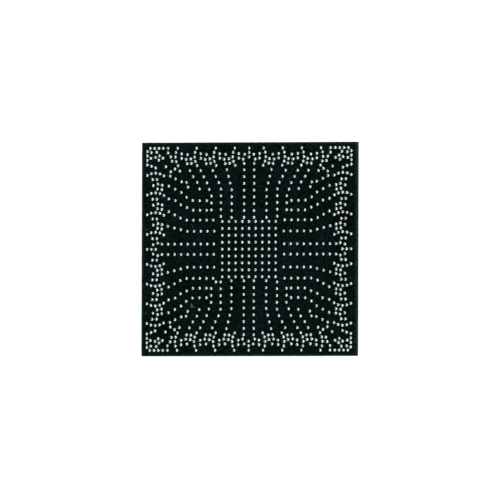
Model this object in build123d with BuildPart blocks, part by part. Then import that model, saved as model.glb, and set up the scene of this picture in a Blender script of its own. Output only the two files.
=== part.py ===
from build123d import *
from math import cos, dist, pi, radians, sin
import os

# Flip-chip ball grid array package, lying on the back of its die with the solder balls up.
# +X runs along the long side, +Y along the short side and +Z out of the ball side.
# The origin is the centre of the die's back face. All sizes are in millimetres.

# Package stack, from the die's back up to the crowns of the balls
die_length = 9.4
die_width = 7.4
die_thickness = 0.40
bump_gap = 0.07
substrate_length = 25.0
substrate_width = 24.0
substrate_thickness = 0.69

# Underfill meniscus around the die
underfill_spread = 0.95
underfill_climb = 0.27
contact_angle = 8.0

# Triangular index marks, bare metal at the bottom of openings in the solder mask
mask_depth = 0.03
mark_thickness = 0.02
mark_clearance = 0.01
ball_side_mark_leg = 0.55
ball_side_mark_inset_x = 5.70
ball_side_mark_inset_y = 5.45
die_side_mark_leg = 0.80
die_side_mark_inset = 0.75

# Solder balls
ball_diameter = 0.42
ball_height = 0.32
ball_clearance = 0.05
edge_inset = 0.645

# Core grid, with the one ball beside it that has no mirror image
core_pitch = 0.775
core_count = 9
key_offset_x = 0.72
key_offset_y = 0.57

# Edge band: the same unit of balls repeats along all four sides.
# Places are given as (along the side, depth in from the outer row).
unit_start = 1.68
unit_pitch = 2.215
unit_count = 4
chain_arc = [(0.00, 0.00), (0.24, 1.00), (-0.06, 1.96)]
chain_count = 5
unit_pair = [(-0.47, 0.63), (-0.48, 1.14)]
unit_infill = [(0.68, 1.20), (0.60, 1.72), (1.06, 0.71), (1.22, 1.26), (1.10, 1.75)]
side_middle_pitch = 0.51
side_middle_count = 3
side_middle_trio = [(0.53, 0.71), (0.70, 1.26), (0.58, 1.75)]

# Fan rays: each runs through its turning points, then straight in towards the core.
# Each ray is its turning points, the line it runs in on and the gap it leaves before the
# core's outer row.
north_rays = [
    ([(0.58, 2.46)], 0.58, 0.47),
    ([(2.59, 2.43), (2.02, 4.66)], 2.02, 0.46),
    ([(4.24, 2.53), (3.50, 3.90), (3.27, 4.63)], 3.27, 0.59),
    ([(5.64, 2.53), (4.90, 3.88), (4.37, 5.39)], 4.37, 1.31),
]
north_ray_counts = [8, 8, 8, 7]
east_rays = [
    ([(0.58, 2.46)], 0.58, 0.98),
    ([(2.59, 2.43), (2.02, 4.66)], 2.02, 0.94),
    ([(4.24, 2.53), (3.50, 3.90), (3.27, 4.63)], 3.27, 1.05),
    ([(5.67, 2.53), (5.47, 3.32), (4.98, 3.94), (4.37, 5.39)], 4.37, 1.82),
    ([(7.11, 2.53), (6.45, 3.90), (5.74, 4.70), (5.45, 5.39)], 5.45, 1.82),
]
east_ray_counts = [8, 8, 8, 7, 7]
north_short_ray = [(6.89, 2.53), (6.50, 3.20), (6.03, 3.84), (5.76, 4.58)]

# Corner clusters, given as distances in from where the two outer rows would cross
corner_row_start = 0.35
corner_row_pitch = 0.505
corner_row_count = 4
corner_row_end = 2.42
corner_cluster = [
    (1.10, 0.44), (0.48, 0.48), (1.43, 0.84), (0.96, 1.02), (0.43, 1.12), (1.84, 1.11), (1.34, 1.33),
    (2.42, 0.52), (2.73, 0.96), (2.88, 1.46), (0.50, 2.01), (0.98, 2.20), (2.18, 2.07),
]
diagonal_string = [
    (3.23, 2.33), (2.74, 2.63), (2.69, 3.14), (3.30, 3.45),
    (4.01, 3.77), (4.58, 3.84), (4.76, 4.38), (3.81, 2.57),
]

# Levels and rows that follow from the sizes above
substrate_floor = die_thickness + bump_gap
ball_floor = substrate_floor + substrate_thickness
row_x = substrate_length / 2 - edge_inset
row_y = substrate_width / 2 - edge_inset
core_reach = core_pitch * (core_count - 1) / 2
least_pitch = ball_diameter + ball_clearance

os.makedirs("parts", exist_ok=True)


# Substrate: one laminated board, with an opening in the mask on each side for an index mark
def mark_sketch(corner_x, corner_y, leg, level, shrink):
    with BuildSketch(Plane.XY.offset(level)) as mark:
        with BuildLine():
            Polyline(
                (corner_x, corner_y),
                (corner_x + leg, corner_y),
                (corner_x, corner_y + leg),
                close=True,
            )
        make_face()
        if shrink:
            offset(amount=-shrink, kind=Kind.INTERSECTION, mode=Mode.REPLACE)
    return mark.sketch


ball_side_mark_x = ball_side_mark_inset_x - substrate_length / 2
ball_side_mark_y = ball_side_mark_inset_y - substrate_width / 2
die_side_mark_x = die_side_mark_inset - substrate_length / 2
die_side_mark_y = die_side_mark_inset - substrate_width / 2
ball_side_mark = (ball_side_mark_x, ball_side_mark_y, ball_side_mark_leg)
die_side_mark = (die_side_mark_x, die_side_mark_y, die_side_mark_leg)

with BuildPart() as package_substrate:
    with BuildSketch(Plane.XY.offset(substrate_floor)):
        Rectangle(substrate_length, substrate_width)
    extrude(amount=substrate_thickness)
    extrude(mark_sketch(*ball_side_mark, ball_floor, 0), amount=-mask_depth, mode=Mode.SUBTRACT)
    extrude(mark_sketch(*die_side_mark, substrate_floor, 0), amount=mask_depth, mode=Mode.SUBTRACT)
package_substrate.part.label = "package_substrate"
export_step(package_substrate.part, "parts/package_substrate.step")

# Index marks, each lying on the floor of its opening
with BuildPart() as ball_side_index_mark:
    extrude(
        mark_sketch(*ball_side_mark, ball_floor - mask_depth, mark_clearance),
        amount=mark_thickness,
    )
ball_side_index_mark.part.label = "ball_side_index_mark"
export_step(ball_side_index_mark.part, "parts/ball_side_index_mark.step")

with BuildPart() as die_side_index_mark:
    extrude(
        mark_sketch(*die_side_mark, substrate_floor + mask_depth, mark_clearance),
        amount=-mark_thickness,
    )
die_side_index_mark.part.label = "die_side_index_mark"
export_step(die_side_index_mark.part, "parts/die_side_index_mark.step")

# Silicon die, bare and face down on the hidden side
with BuildPart() as silicon_die:
    with BuildSketch():
        Rectangle(die_length, die_width)
    extrude(amount=die_thickness)
silicon_die.part.label = "silicon_die"
export_step(silicon_die.part, "parts/silicon_die.step")

# Underfill: a layer in the bump gap and a hollow meniscus that climbs the die's four sides
with BuildPart() as underfill:
    with BuildSketch(Plane.XY.offset(die_thickness)):
        Rectangle(die_length, die_width)
    extrude(amount=bump_gap)
    with BuildLine(Plane.XY.offset(substrate_floor)) as die_outline:
        Polyline(
            (die_length / 2, 0),
            (die_length / 2, die_width / 2),
            (-die_length / 2, die_width / 2),
            (-die_length / 2, -die_width / 2),
            (die_length / 2, -die_width / 2),
            close=True,
        )
    section_plane = Plane((die_length / 2, 0, substrate_floor), x_dir=(1, 0, 0), z_dir=(0, 1, 0))
    with BuildSketch(section_plane) as meniscus:
        wet_height = bump_gap + underfill_climb
        with BuildLine():
            Line((0, wet_height), (0, 0))
            Line((0, 0), (underfill_spread, 0))
            TangentArc(
                (underfill_spread, 0),
                (0, wet_height),
                tangent=(-cos(radians(contact_angle)), sin(radians(contact_angle))),
            )
        make_face()
    sweep(meniscus.sketch, path=die_outline.line, transition=Transition.ROUND)
underfill.part.label = "underfill"
export_step(underfill.part, "parts/underfill.step")


# One solder ball as an eight-cornered drum of the ball's diameter and height, which also has
# very nearly its volume. It is square at the foot and, an eighth of a turn round, at the crown.
def solder_ball():
    radius = ball_diameter / 2
    quarters = [quarter * pi / 2 for quarter in range(4)]
    foot = [Vector(radius * cos(a), radius * sin(a), 0) for a in quarters]
    crown = [Vector(radius * cos(a + pi / 4), radius * sin(a + pi / 4), ball_height) for a in quarters]
    facets = [foot, crown]
    for corner in range(4):
        following = (corner + 1) % 4
        facets.append([foot[corner], foot[following], crown[corner]])
        facets.append([crown[corner], crown[following], foot[following]])
    return Solid(Shell([Face(Wire.make_polygon(facet)) for facet in facets]))


ball = solder_ball()
taken_places = []


# Keeps the places that lie at least one pitch clear of every ball placed before
def free_places(places):
    kept = []
    for place in places:
        if all(dist(place, other) >= least_pitch for other in taken_places):
            taken_places.append(place)
            kept.append(place)
    return kept


def make_balls(name, places):
    with BuildPart() as balls:
        with Locations(*[(x, y, ball_floor) for x, y in free_places(places)]):
            add(ball, clean=False)
    balls.part.label = name
    export_step(balls.part, f"parts/{name}.step")


# Balls spread evenly along a line
def spread(line, count):
    points = [line @ (step / (count - 1)) for step in range(count)]
    return [(point.X, point.Y) for point in points]


# Turns (along, depth) places into package places on one of the four sides
def on_side(side, places):
    turned = {
        "north": lambda along, depth: (along, row_y - depth),
        "south": lambda along, depth: (along, depth - row_y),
        "east": lambda along, depth: (row_x - depth, along),
        "west": lambda along, depth: (depth - row_x, along),
    }
    return [turned[side](along, depth) for along, depth in places]


def both_ways(places):
    return places + [(-along, depth) for along, depth in places]


# Core grid and key ball
core_grid = GridLocations(core_pitch, core_pitch, core_count, core_count)
make_balls("core_balls", [(place.position.X, place.position.Y) for place in core_grid])
make_balls("key_ball", [(-core_reach - key_offset_x, -core_reach - key_offset_y)])

# The two outermost balls of each corner, then the rest of the four corners
corners = {
    "northeast": (1, 1),
    "northwest": (-1, 1),
    "southeast": (1, -1),
    "southwest": (-1, -1),
}


def at_corner(corner, insets):
    sign_x, sign_y = corners[corner]
    return [(sign_x * (row_x - inset_x), sign_y * (row_y - inset_y)) for inset_x, inset_y in insets]


row_insets = [corner_row_start + step * corner_row_pitch for step in range(corner_row_count)]
support_insets = [(row_insets[0], 0), (0, row_insets[0])]
corner_insets = [(inset, 0) for inset in row_insets[1:]] + [(0, inset) for inset in row_insets[1:]]
corner_insets += [(corner_row_end, 0)] + corner_cluster + diagonal_string

support_places = [place for corner in corners for place in at_corner(corner, support_insets)]
make_balls("corner_support_balls", support_places)
for corner in corners:
    make_balls(f"{corner}_corner_balls", at_corner(corner, corner_insets))

# Edge bands
with BuildLine() as chain:
    ThreePointArc(*chain_arc)
unit_places = spread(chain.line, chain_count) + unit_pair
edge_places = list(side_middle_trio)
for unit in range(unit_count):
    unit_shift = unit_start + unit * unit_pitch
    last_unit = unit == unit_count - 1
    balls_in_unit = unit_places if last_unit else unit_places + unit_infill
    edge_places += [(unit_shift + along, depth) for along, depth in balls_in_unit]
middle_places = [(0, step * side_middle_pitch) for step in range(side_middle_count)]

for side in ("north", "south", "east", "west"):
    make_balls(f"{side}_edge_balls", on_side(side, middle_places + both_ways(edge_places)))


# Fans of rays between the edge bands and the core
def fan_places(rays, counts, core_depth):
    places = []
    for (turning_points, run_in, core_gap), count in zip(rays, counts):
        with BuildLine() as ray:
            Polyline(*turning_points, (run_in, core_depth - core_gap))
        places += spread(ray.wire(), count)
    return places


north_fan = fan_places(north_rays, north_ray_counts, row_y - core_reach) + north_short_ray
east_fan = fan_places(east_rays, east_ray_counts, row_x - core_reach)
for side in ("north", "south"):
    make_balls(f"{side}_fan_balls", on_side(side, both_ways(north_fan)))
for side in ("east", "west"):
    make_balls(f"{side}_fan_balls", on_side(side, both_ways(east_fan)))

print("balls placed:", len(taken_places))
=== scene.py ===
import math

import bmesh
import bpy
import numpy as np
from mathutils import Matrix, Vector


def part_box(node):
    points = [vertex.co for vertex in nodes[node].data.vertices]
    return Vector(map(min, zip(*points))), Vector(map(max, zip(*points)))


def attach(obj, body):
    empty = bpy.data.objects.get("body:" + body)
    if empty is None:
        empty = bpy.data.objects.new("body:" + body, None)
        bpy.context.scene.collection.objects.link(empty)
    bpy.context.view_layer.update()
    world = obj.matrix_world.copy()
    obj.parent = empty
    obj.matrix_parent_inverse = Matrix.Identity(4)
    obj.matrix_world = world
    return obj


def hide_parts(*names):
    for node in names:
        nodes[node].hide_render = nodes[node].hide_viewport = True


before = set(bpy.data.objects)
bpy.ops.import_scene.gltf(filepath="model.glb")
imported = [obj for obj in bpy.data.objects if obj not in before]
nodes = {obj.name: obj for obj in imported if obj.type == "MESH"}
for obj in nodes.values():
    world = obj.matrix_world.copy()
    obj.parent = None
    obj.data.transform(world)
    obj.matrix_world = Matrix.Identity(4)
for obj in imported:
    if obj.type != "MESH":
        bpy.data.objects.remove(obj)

# Looks for a ball grid array package lying on its die, balls up. Metres, same frame as the CAD.
scene = bpy.context.scene
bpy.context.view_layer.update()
mm = 0.001
boardLow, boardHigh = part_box("package_substrate")
noiseSpan = (0.3, 0.7)       # nearly all values of a noise texture lie between these
print("frame loaded,", len(nodes), "nodes")


# sRGB hex to the linear colour that shader sockets take
def linear(hexColour):
    parts = [int(hexColour[i:i + 2], 16) / 255 for i in (1, 3, 5)]
    return [p / 12.92 if p <= 0.04045 else ((p + 0.055) / 1.055) ** 2.4 for p in parts] + [1.0]


# one shader node: settings are its properties and sockets, links are the sockets that others feed
def addNode(tree, kind, settings=None, links=None):
    made = tree.nodes.new("ShaderNode" + kind)
    for name, value in (settings or {}).items():
        if name == "stops":                        # a colour ramp's places and colours
            ramp = made.color_ramp.elements
            for stop, (place, hexColour) in ((ramp[0], value[0]), (ramp[1], value[-1])):
                stop.position = place
                stop.color = linear(hexColour)
            for place, hexColour in value[1:-1]:
                ramp.new(place).color = linear(hexColour)
        elif isinstance(name, int) or name in made.inputs:
            made.inputs[name].default_value = value
        else:
            setattr(made, name, value)
    for name, source in (links or {}).items():
        tree.links.new(source, made.inputs[name])
    return made


# texture scale that gives features of this size, in mm
def featureSize(size):
    return 1 / (size * mm)


def startMaterial(name):
    material = bpy.data.materials.new(name)
    material.use_nodes = True
    tree = material.node_tree
    return material, tree, tree.nodes["Principled BSDF"]


def dress(piece, *materials):
    piece.data.materials.clear()
    for material in materials:
        piece.data.materials.append(material)


# links a new piece into the scene and hangs it on the one body
def addPiece(name, mesh):
    piece = bpy.data.objects.new(name, mesh)
    scene.collection.objects.link(piece)
    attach(piece, "root")
    return piece


# Camera: far off on a long lens, leaning to the package's right so its right wall just shows
cameraSet = {
    "lean": 15.0,            # degrees from straight above
    "heading": -5.3,         # degrees from +X, the way it leans
    "distance": 2.2,         # m
    "clip": (0.01, 20.0),    # m
    "sensor": 36.0,          # mm
    "photoPixels": 500,
    "pixelSize": 0.1122,     # mm on the board for one pixel
    "aim": (0.098, -0.098),  # mm on the board at the picture's centre
}
cameraData = bpy.data.cameras.new("photoCamera")
camera = bpy.data.objects.new("photoCamera", cameraData)
scene.collection.objects.link(camera)
scene.camera = camera
frameWidth = cameraSet["photoPixels"] * cameraSet["pixelSize"] * mm
cameraData.sensor_width = cameraSet["sensor"]
cameraData.lens = cameraSet["sensor"] * cameraSet["distance"] / frameWidth
cameraData.clip_start, cameraData.clip_end = cameraSet["clip"]
leanHeading = math.radians(cameraSet["heading"])
leanAxis = Vector((-math.sin(leanHeading), math.cos(leanHeading), 0))
turn = Matrix.Rotation(math.radians(cameraSet["lean"]), 4, leanAxis)
aimX, aimY = cameraSet["aim"]
aim = Vector((aimX * mm, aimY * mm, boardHigh.z))
camera.matrix_world = Matrix.Translation(aim + turn @ Vector((0, 0, cameraSet["distance"]))) @ turn
print("camera set, lens", round(cameraData.lens), "mm")


# Light: pale studio walls that stop short of a dark ceiling and dim to the left and towards the floor,
# and three soft panels
roomSet = {
    "colour": "#f4f7f7",
    "strength": 1.22,
    "ceilingLean": 15.0,     # degrees left of straight up, the middle of the dark ceiling
    "ceilingEdge": 44.0,     # degrees from that middle where the walls begin to dim
    "ceilingCore": 22.0,     # degrees from it where they are dark
    "ceilingShare": 0.015,
    "leftFrom": -0.05,       # how far left a direction points where the left dimming starts and ends
    "leftTo": 0.4,
    "leftSpread": 0.7,       # how much of its way to the front or back counts against that
    "leftShare": 0.02,
    "skirtingTop": 0.55,     # how far up a direction points where the walls are fully lit
    "skirtingShare": 0.15,   # their light at the foot
}
room = bpy.data.worlds.new("studioRoom")
scene.world = room
room.use_nodes = True
tree = room.node_tree
background = tree.nodes["Background"]
direction = addNode(tree, "TexCoord").outputs["Generated"]
ceilingLean = math.radians(roomSet["ceilingLean"])
towardsCeiling = addNode(
    tree, "VectorMath",
    {"operation": "DOT_PRODUCT", 1: (-math.sin(ceilingLean), 0, math.cos(ceilingLean))},
    {0: direction},
)
walls = addNode(
    tree, "MapRange",
    {
        "interpolation_type": "SMOOTHSTEP",
        "From Min": math.cos(math.radians(roomSet["ceilingEdge"])),
        "From Max": math.cos(math.radians(roomSet["ceilingCore"])),
        "To Min": roomSet["strength"],
        "To Max": roomSet["strength"] * roomSet["ceilingShare"],
    },
    {"Value": towardsCeiling.outputs["Value"]},
)
bearing = addNode(tree, "SeparateXYZ", links={0: direction})
frontOrBack = addNode(tree, "Math", {"operation": "ABSOLUTE"}, {0: bearing.outputs["Y"]})
leftward = addNode(tree, "Math", {"operation": "MULTIPLY", 1: -1.0}, {0: bearing.outputs["X"]})
towardsLeft = addNode(
    tree, "Math", {"operation": "MULTIPLY_ADD", 1: -roomSet["leftSpread"]},
    {0: frontOrBack.outputs[0], 2: leftward.outputs[0]},
)
leftDim = addNode(
    tree, "MapRange",
    {
        "interpolation_type": "SMOOTHSTEP",
        "From Min": roomSet["leftFrom"],
        "From Max": roomSet["leftTo"],
        "To Min": 1.0,
        "To Max": roomSet["leftShare"],
    },
    {"Value": towardsLeft.outputs[0]},
)
footDim = addNode(
    tree, "MapRange",
    {
        "interpolation_type": "SMOOTHSTEP",
        "From Min": 0.0,
        "From Max": roomSet["skirtingTop"],
        "To Min": roomSet["skirtingShare"],
        "To Max": 1.0,
    },
    {"Value": bearing.outputs["Z"]},
)
lit = walls.outputs["Result"]
for dim in (leftDim, footDim):
    dimmed = addNode(tree, "Math", {"operation": "MULTIPLY"}, {0: lit, 1: dim.outputs["Result"]})
    lit = dimmed.outputs[0]
rays = addNode(tree, "LightPath")                  # behind the floor's edge the wall is plainly pale
strength = addNode(
    tree, "Math", {"operation": "MAXIMUM"}, {0: lit, 1: rays.outputs["Is Camera Ray"]})
background.inputs["Color"].default_value = linear(roomSet["colour"])
tree.links.new(strength.outputs[0], background.inputs["Strength"])

panelSet = {
    "reach": 0.62,           # m
    "height": 0.62,          # m
    "size": 0.5,             # m
    "watts": 0.9,
    "headings": {"rightPanel": 0, "rearPanel": 90, "frontPanel": -90},    # degrees from +X
}
for name, panelHeading in panelSet["headings"].items():
    panelData = bpy.data.lights.new(name, "AREA")
    panelData.size = panelSet["size"]
    panelData.energy = panelSet["watts"]
    panel = bpy.data.objects.new(name, panelData)
    scene.collection.objects.link(panel)
    panel.visible_camera = False
    outward = Matrix.Rotation(math.radians(panelHeading), 3, "Z") @ Vector((panelSet["reach"], 0, 0))
    panel.location = outward + Vector((0, 0, panelSet["height"]))
    panel.rotation_euler = (-panel.location).to_track_quat("-Z", "Y").to_euler()
scene.view_settings.view_transform = "Standard"
print("light set,", len(panelSet["headings"]), "panels")


# Floor: opal acrylic, cast and rubbed matt. The eye gets an even white: a soft glow from below keeps it
# pale and its shadows faint.
floorSet = {
    "halfWidth": 4.0,        # m
    "drop": 0.02,            # mm below the die
    "colour": "#f7f7f5",
    "glow": 0.7,
    "roughness": 0.8,
}
floorMesh = bpy.data.meshes.new("paleFloor")
floorReach, floorLevel = floorSet["halfWidth"], -floorSet["drop"] * mm
floorCorners = ((-1, -1), (1, -1), (1, 1), (-1, 1))
floorMesh.from_pydata(
    [(x * floorReach, y * floorReach, floorLevel) for x, y in floorCorners],
    [], [(0, 1, 2, 3)],
)
floor = bpy.data.objects.new("paleFloor", floorMesh)
scene.collection.objects.link(floor)
floor.visible_glossy = False               # the balls mirror the dim foot of the room instead
opalAcrylic, tree, shader = startMaterial("opal acrylic, matt cast")
shader.inputs["Base Color"].default_value = linear(floorSet["colour"])
shader.inputs["Roughness"].default_value = floorSet["roughness"]
shader.inputs["Emission Color"].default_value = linear(floorSet["colour"])
shader.inputs["Emission Strength"].default_value = floorSet["glow"]
dress(floor, opalAcrylic)
print("floor laid")


# Solder mask: green epoxy ink, curtain coated and cured. The eye gets a green so deep that it is
# nearly black, dull satin, cloudy where the copper beneath is more or less dense, and paler in a
# rim along the board's edge.
maskSet = {
    # how dense the copper beneath is, and the ink's colour there
    "ink": ((0.30, "#060f0e"), (0.50, "#081613"), (0.70, "#09191b")),
    "rim": "#0f2b25",
    "rimWidth": 0.40,        # mm
    "cloud": 2.6,            # mm
    "cloudRoughness": 0.6,
    "grain": 0.24,           # mm, real pigment is far finer than shows
    "grainShare": 0.9,
    "orangePeel": 0.9,       # mm
    "peelDepth": 0.003,      # mm
    "peelStrength": 0.5,
    "roughness": (0.36, 0.46),
    "specular": 0.04,
}
solderMask, tree, shader = startMaterial("green solder mask, curtain coated")
place = addNode(tree, "TexCoord").outputs["Object"]
clouds = addNode(
    tree, "TexNoise",
    {"Scale": featureSize(maskSet["cloud"]), "Detail": 3.0, "Roughness": maskSet["cloudRoughness"]},
    {"Vector": place},
)
ink = addNode(tree, "ValToRGB", {"stops": maskSet["ink"]}, {"Fac": clouds.outputs["Fac"]})
plan = addNode(tree, "SeparateXYZ", links={0: place})
rims = []
for axis, boardEdge in (("X", boardHigh.x), ("Y", boardHigh.y)):
    away = addNode(tree, "Math", {"operation": "ABSOLUTE"}, {0: plan.outputs[axis]})
    rims.append(addNode(
        tree, "MapRange",
        {
            "interpolation_type": "SMOOTHSTEP",
            "From Min": boardEdge - maskSet["rimWidth"] * mm,
            "From Max": boardEdge,
        },
        {"Value": away.outputs[0]},
    ))
rim = addNode(
    tree, "Math", {"operation": "MAXIMUM"},
    {0: rims[0].outputs["Result"], 1: rims[1].outputs["Result"]},
)
# a Mix node's colours are sockets 6 and 7 going in, and 2 going out
coat = addNode(
    tree, "Mix", {"data_type": "RGBA", 7: linear(maskSet["rim"])},
    {0: rim.outputs[0], 6: ink.outputs["Color"]},
)
grain = addNode(
    tree, "TexNoise", {"Scale": featureSize(maskSet["grain"]), "Detail": 2.0}, {"Vector": place})
speckle = addNode(
    tree, "MapRange",
    {
        "From Min": noiseSpan[0],
        "From Max": noiseSpan[1],
        "To Min": 1 - maskSet["grainShare"],
        "To Max": 1 + maskSet["grainShare"],
    },
    {"Value": grain.outputs["Fac"]},
)
grained = addNode(
    tree, "VectorMath", {"operation": "SCALE"},
    {0: coat.outputs[2], "Scale": speckle.outputs["Result"]},
)
gloss = addNode(
    tree, "MapRange", {"To Min": maskSet["roughness"][0], "To Max": maskSet["roughness"][1]},
    {"Value": grain.outputs["Fac"]},
)
peel = addNode(
    tree, "TexNoise", {"Scale": featureSize(maskSet["orangePeel"]), "Detail": 1.0}, {"Vector": place})
relief = addNode(
    tree, "Bump", {"Strength": maskSet["peelStrength"], "Distance": maskSet["peelDepth"] * mm},
    {"Height": peel.outputs["Fac"]},
)
shader.inputs["Specular IOR Level"].default_value = maskSet["specular"]
tree.links.new(grained.outputs[0], shader.inputs["Base Color"])
tree.links.new(gloss.outputs["Result"], shader.inputs["Roughness"])
tree.links.new(relief.outputs["Normal"], shader.inputs["Normal"])


# Laminate: glass cloth in epoxy between build-up films, sawn to size. The eye gets a dull dark green
# edge in thin layers, streaked along by the blade.
laminateSet = {
    # share of the thickness and colour, from the die side to the ball side
    "layers": (
        (0.00, "#0b1a16"), (0.035, "#0b1a16"), (0.045, "#15251f"), (0.20, "#172720"), (0.21, "#213329"),
        (0.50, "#25372c"), (0.79, "#213329"), (0.80, "#172720"), (0.955, "#15251f"), (0.965, "#0b1a16"),
    ),
    "streakLength": 1.4,     # mm
    "streakHeight": 0.035,   # mm
    "streakShare": 0.3,
    "streakDepth": 0.004,    # mm
    "streakStrength": 0.6,
    "roughness": 0.8,
    "specular": 0.05,        # sawn and dusty, hardly any shine
}
sawnLaminate, tree, shader = startMaterial("glass-epoxy laminate, sawn")
place = addNode(tree, "TexCoord").outputs["Object"]
wallPlace = addNode(tree, "SeparateXYZ", links={0: place})
depth = addNode(
    tree, "MapRange", {"From Min": boardLow.z, "From Max": boardHigh.z},
    {"Value": wallPlace.outputs["Z"]},
)
layers = addNode(tree, "ValToRGB", {"stops": laminateSet["layers"]}, {"Fac": depth.outputs["Result"]})
alongWall, upWall = featureSize(laminateSet["streakLength"]), featureSize(laminateSet["streakHeight"])
stretched = addNode(tree, "Mapping", {"Scale": (alongWall, alongWall, upWall)}, {"Vector": place})
streaks = addNode(
    tree, "TexNoise", {"Scale": 1.0, "Detail": 3.0}, {"Vector": stretched.outputs["Vector"]})
shade = addNode(
    tree, "MapRange",
    {
        "From Min": noiseSpan[0],
        "From Max": noiseSpan[1],
        "To Min": 1 - laminateSet["streakShare"],
        "To Max": 1 + laminateSet["streakShare"],
    },
    {"Value": streaks.outputs["Fac"]},
)
streaked = addNode(
    tree, "VectorMath", {"operation": "SCALE"},
    {0: layers.outputs["Color"], "Scale": shade.outputs["Result"]},
)
relief = addNode(
    tree, "Bump",
    {"Strength": laminateSet["streakStrength"], "Distance": laminateSet["streakDepth"] * mm},
    {"Height": streaks.outputs["Fac"]},
)
shader.inputs["Roughness"].default_value = laminateSet["roughness"]
shader.inputs["Specular IOR Level"].default_value = laminateSet["specular"]
tree.links.new(streaked.outputs[0], shader.inputs["Base Color"])
tree.links.new(relief.outputs["Normal"], shader.inputs["Normal"])
print("mask and laminate mixed")


# Board: the CAD board with its sawn edges eased, mask on its faces and bare laminate on its walls
boardSet = {
    "weld": 0.001,           # mm
    "flatWithin": 1.0,       # degrees between faces that are one flat face
    "levelWithin": 0.1,      # mm between the heights of a level edge's ends
    "arris": 0.018,          # mm
    "arrisSteps": 2,
    "arrisProfile": 0.5,     # round
    "wallTilt": 0.6,         # the height of its normal under which a face is a wall
}
boardMesh = nodes["package_substrate"].data.copy()
boardMesh.name = "laminated_board"
form = bmesh.new()
form.from_mesh(boardMesh)
bmesh.ops.remove_doubles(form, verts=form.verts, dist=boardSet["weld"] * mm)
bmesh.ops.dissolve_limit(
    form, angle_limit=math.radians(boardSet["flatWithin"]), verts=form.verts, edges=form.edges)


# whether a point lies on the board's outline, within the width of two eased edges
def onOutline(point):
    return max(abs(point.x) - boardHigh.x, abs(point.y) - boardHigh.y) > -2 * boardSet["arris"] * mm


sawnEdges = [
    edge for edge in form.edges
    if all(onOutline(corner.co) for corner in edge.verts)
    and abs(edge.verts[0].co.z - edge.verts[1].co.z) < boardSet["levelWithin"] * mm
]
bmesh.ops.bevel(
    form, geom=sawnEdges, offset=boardSet["arris"] * mm, segments=boardSet["arrisSteps"],
    profile=boardSet["arrisProfile"], affect="EDGES",
)
form.to_mesh(boardMesh)
form.free()
board = addPiece("laminated_board", boardMesh)
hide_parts("package_substrate")
dress(board, solderMask, sawnLaminate)
for face in boardMesh.polygons:
    isWall = onOutline(face.center) and abs(face.normal.z) < boardSet["wallTilt"]
    face.material_index = 1 if isWall else 0
print("board made,", len(boardMesh.polygons), "faces")


# Scratches: the mask's epoxy ink, scuffed up where handling has caught it. The eye gets pale chalky
# burrs.
scratchSet = {
    # from, to and width, in mm on the ball side
    "strokes": (
        ((6.55, -3.13), (7.08, -3.12), 0.055),
        ((-12.18, 2.21), (-11.79, 2.20), 0.055),
        ((-12.15, -7.48), (-11.82, -6.78), 0.042),
        ((-6.72, 2.86), (-6.55, 2.36), 0.042),
        ((-4.48, 3.54), (-4.46, 3.30), 0.060),
        ((4.54, 7.96), (4.75, 7.78), 0.070),
        ((9.02, -0.80), (9.22, -0.73), 0.060),
        ((11.58, -3.24), (11.90, -3.24), 0.055),
    ),
    "rise": 0.008,           # mm
    "root": 0.003,           # mm sunk in the mask
    "bow": 0.02,             # mm
    "stations": 7,
    "chalk": ((0.35, "#3d4d48"), (0.70, "#5d6d66")),
    "fleck": 0.12,           # mm
    "roughness": 0.7,
}
scuffedMask, tree, shader = startMaterial("green solder mask, scuffed")
place = addNode(tree, "TexCoord").outputs["Object"]
flecks = addNode(tree, "TexNoise", {"Scale": featureSize(scratchSet["fleck"])}, {"Vector": place})
chalk = addNode(tree, "ValToRGB", {"stops": scratchSet["chalk"]}, {"Fac": flecks.outputs["Fac"]})
shader.inputs["Roughness"].default_value = scratchSet["roughness"]
tree.links.new(chalk.outputs["Color"], shader.inputs["Base Color"])

# each scratch is a bar of three edges, widest and highest half way
vertices, faces = [], []
for start, end, width in scratchSet["strokes"]:
    start, end = Vector(start) * mm, Vector(end) * mm
    sideways = Vector((start.y - end.y, end.x - start.x)).normalized()
    first = len(vertices)
    for station in range(scratchSet["stations"]):
        share = (station + 0.5) / scratchSet["stations"]
        swell = math.sqrt(math.sin(math.pi * share))
        middle = start.lerp(end, share) + sideways * scratchSet["bow"] * mm * swell
        half = sideways * width * mm * swell / 2
        foot = boardHigh.z - scratchSet["root"] * mm
        vertices += [
            (*(middle - half), foot),
            (*(middle + half), foot),
            (*middle, boardHigh.z + scratchSet["rise"] * mm * swell),
        ]
    for station in range(scratchSet["stations"] - 1):
        near, far = first + 3 * station, first + 3 * (station + 1)
        for corner in range(3):
            following = (corner + 1) % 3
            faces.append((near + corner, near + following, far + following, far + corner))
    last = len(vertices) - 3
    faces += [(first + 2, first + 1, first), (last, last + 1, last + 2)]
scratchMesh = bpy.data.meshes.new("mask_scratches")
scratchMesh.from_pydata(vertices, [], faces)
form = bmesh.new()
form.from_mesh(scratchMesh)
bmesh.ops.recalc_face_normals(form, faces=form.faces)
form.to_mesh(scratchMesh)
form.free()
dress(addPiece("mask_scratches", scratchMesh), scuffedMask)
print("scratches made:", len(scratchSet["strokes"]))


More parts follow.
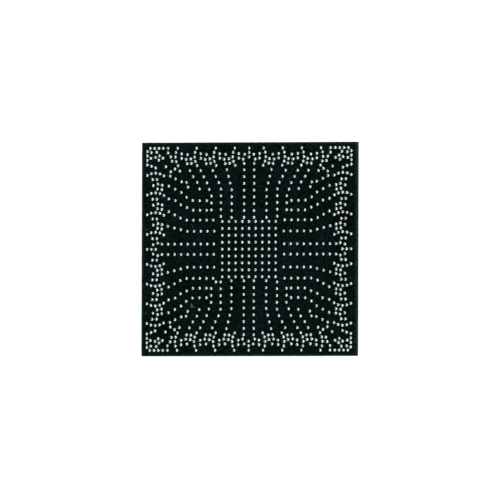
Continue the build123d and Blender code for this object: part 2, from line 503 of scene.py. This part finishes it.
# Balls: tin-silver-copper solder, reflowed and cooled in air. The eye gets pale frosted metal that
# never quite mirrors, a little different from ball to ball.
ballSet = {
    "segments": 20,
    "rings": 9,
    "crownDepth": 0.01,      # mm, what lies higher than this in a node is a crown
    "tones": ((0.0, "#c2cccb"), (0.6, "#dde7e5")),
    "roughness": (0.07, 0.17),
    "dimple": 0.11,          # mm, real grains are finer than shows
    "dimpleDepth": 0.012,    # mm
    "dimpleStrength": 0.6,
}
reflowedSolder, tree, shader = startMaterial("tin-silver-copper solder, reflowed")
place = addNode(tree, "TexCoord").outputs["Object"]
ballByBall = addNode(tree, "NewGeometry").outputs["Random Per Island"]
tone = addNode(tree, "ValToRGB", {"stops": ballSet["tones"]}, {"Fac": ballByBall})
dimples = addNode(
    tree, "TexNoise", {"Scale": featureSize(ballSet["dimple"]), "Detail": 2.0}, {"Vector": place})
frost = addNode(
    tree, "MapRange", {"To Min": ballSet["roughness"][0], "To Max": ballSet["roughness"][1]},
    {"Value": dimples.outputs["Fac"]},
)
relief = addNode(
    tree, "Bump", {"Strength": ballSet["dimpleStrength"], "Distance": ballSet["dimpleDepth"] * mm},
    {"Height": dimples.outputs["Fac"]},
)
shader.inputs["Metallic"].default_value = 1.0
tree.links.new(tone.outputs["Color"], shader.inputs["Base Color"])
tree.links.new(frost.outputs["Result"], shader.inputs["Roughness"])
tree.links.new(relief.outputs["Normal"], shader.inputs["Normal"])


# centres and diameter of a node's balls: each crown's two triangles share a diagonal through its middle
def readBalls(node):
    mesh = nodes[node].data
    mesh.calc_loop_triangles()
    points = np.array([corner.co for corner in mesh.vertices])
    triangles = points[np.array([triangle.vertices for triangle in mesh.loop_triangles])]
    crownLevel = points[:, 2].max() - ballSet["crownDepth"] * mm
    crowns = triangles[(triangles[:, :, 2] > crownLevel).all(axis=1)]
    centres = []
    for crown in crowns:
        edges = [(crown[i], crown[(i + 1) % 3]) for i in range(3)]
        start, end = max(edges, key=lambda edge: np.linalg.norm(edge[0] - edge[1]))
        diameter = np.linalg.norm(start - end)
        middle = (start + end)[:2] / 2
        sameBall = diameter / 4
        if all(np.linalg.norm(middle - centre) > sameBall for centre in centres):
            centres.append(middle)
    return sorted(tuple(centre) for centre in centres), diameter


# all balls of one node as one mesh of smooth balls, cut flat where they meet the board
def makeBalls(node):
    centres, diameter = readBalls(node)
    low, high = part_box(node)
    radius = diameter / 2
    middle = high.z - radius
    footAngle = math.acos((low.z - middle) / radius)
    segments, rings = ballSet["segments"], ballSet["rings"]
    vertices, faces = [], []
    for x, y in centres:
        first = len(vertices)
        for ring in range(rings):
            polar = footAngle * (1 - ring / rings)
            ringRadius, level = radius * math.sin(polar), middle + radius * math.cos(polar)
            for segment in range(segments):
                around = 2 * math.pi * segment / segments
                outX, outY = ringRadius * math.cos(around), ringRadius * math.sin(around)
                vertices.append((x + outX, y + outY, level))
        crown = len(vertices)
        vertices.append((x, y, high.z))
        for segment in range(segments):
            following = (segment + 1) % segments
            for ring in range(rings - 1):
                lower, upper = first + ring * segments, first + (ring + 1) * segments
                faces.append((lower + segment, lower + following, upper + following, upper + segment))
            top = crown - segments
            faces.append((top + segment, top + following, crown))
        faces.append(tuple(first + segment for segment in reversed(range(segments))))
    mesh = bpy.data.meshes.new("smooth_" + node)
    mesh.from_pydata(vertices, [], faces)
    mesh.shade_smooth()
    balls = addPiece("smooth_" + node, mesh)
    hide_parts(node)
    dress(balls, reflowedSolder)
    return len(centres)


ballNodes = sorted(name for name in nodes if name.endswith("_balls") or name == "key_ball")
ballCount = sum(makeBalls(node) for node in ballNodes)
print("balls made:", ballCount)


# Die: silicon, thinned by grinding and polished. The eye gets a cold grey mirror with fine arcs, and
# darker sawn sides.
dieSet = {
    # how far up or down a face looks, and its colour: the sides, then the back
    "tones": ((0.4, "#3c3d40"), (0.6, "#8f9196")),
    "arc": 0.754,            # mm, real grinding marks are far finer than shows
    "arcWander": 1.5,
    "wheelCentre": (-70.0, 38.0),    # mm
    "roughness": (0.10, 0.22),
}
ringsPerUnit = 20 / (2 * math.pi)    # rings of Blender's wave texture in one unit at scale 1
polishedSilicon, tree, shader = startMaterial("silicon, ground and polished")
coordinates = addNode(tree, "TexCoord")
wheelX, wheelY = dieSet["wheelCentre"]
fromWheel = addNode(
    tree, "Mapping", {"Location": (-wheelX * mm, -wheelY * mm, 0)},
    {"Vector": coordinates.outputs["Object"]},
)
arcs = addNode(
    tree, "TexWave",
    {
        "wave_type": "RINGS",
        "rings_direction": "Z",
        "Scale": featureSize(dieSet["arc"]) / ringsPerUnit,
        "Distortion": dieSet["arcWander"],
    },
    {"Vector": fromWheel.outputs["Vector"]},
)
gloss = addNode(
    tree, "MapRange", {"To Min": dieSet["roughness"][0], "To Max": dieSet["roughness"][1]},
    {"Value": arcs.outputs["Fac"]},
)
facing = addNode(tree, "SeparateXYZ", links={0: coordinates.outputs["Normal"]})
upright = addNode(tree, "Math", {"operation": "ABSOLUTE"}, {0: facing.outputs["Z"]})
silicon = addNode(tree, "ValToRGB", {"stops": dieSet["tones"]}, {"Fac": upright.outputs[0]})
shader.inputs["Metallic"].default_value = 1.0
tree.links.new(silicon.outputs["Color"], shader.inputs["Base Color"])
tree.links.new(gloss.outputs["Result"], shader.inputs["Roughness"])
dress(nodes["silicon_die"], polishedSilicon)


# Underfill: epoxy full of fine silica, flowed in and cured. The eye gets dark, slightly glossy resin.
underfillSet = {
    "tones": ((0.35, "#131416"), (0.75, "#24262a")),
    "filler": 0.07,          # mm, real silica is far finer than shows
    "roughness": (0.25, 0.42),
}
curedEpoxy, tree, shader = startMaterial("silica-filled epoxy, flowed and cured")
place = addNode(tree, "TexCoord").outputs["Object"]
filler = addNode(
    tree, "TexNoise", {"Scale": featureSize(underfillSet["filler"]), "Detail": 3.0}, {"Vector": place})
resin = addNode(tree, "ValToRGB", {"stops": underfillSet["tones"]}, {"Fac": filler.outputs["Fac"]})
gloss = addNode(
    tree, "MapRange", {"To Min": underfillSet["roughness"][0], "To Max": underfillSet["roughness"][1]},
    {"Value": filler.outputs["Fac"]},
)
tree.links.new(resin.outputs["Color"], shader.inputs["Base Color"])
tree.links.new(gloss.outputs["Result"], shader.inputs["Roughness"])
dress(nodes["underfill"], curedEpoxy)


# Index marks: copper plated with nickel and gold, dulled by handling. The eye gets flat metal between
# grey and olive.
markSet = {
    "tones": ((0.35, "#585a51"), (0.65, "#82837a")),
    "stain": 0.18,           # mm
    "roughness": (0.5, 0.65),
}
platedCopper, tree, shader = startMaterial("gold-plated copper, tarnished")
place = addNode(tree, "TexCoord").outputs["Object"]
stain = addNode(
    tree, "TexNoise", {"Scale": featureSize(markSet["stain"]), "Detail": 2.0}, {"Vector": place})
metal = addNode(tree, "ValToRGB", {"stops": markSet["tones"]}, {"Fac": stain.outputs["Fac"]})
gloss = addNode(
    tree, "MapRange", {"To Min": markSet["roughness"][0], "To Max": markSet["roughness"][1]},
    {"Value": stain.outputs["Fac"]},
)
shader.inputs["Metallic"].default_value = 1.0
tree.links.new(metal.outputs["Color"], shader.inputs["Base Color"])
tree.links.new(gloss.outputs["Result"], shader.inputs["Roughness"])
for node in ("ball_side_index_mark", "die_side_index_mark"):
    dress(nodes[node], platedCopper)
print("die, underfill and marks dressed")
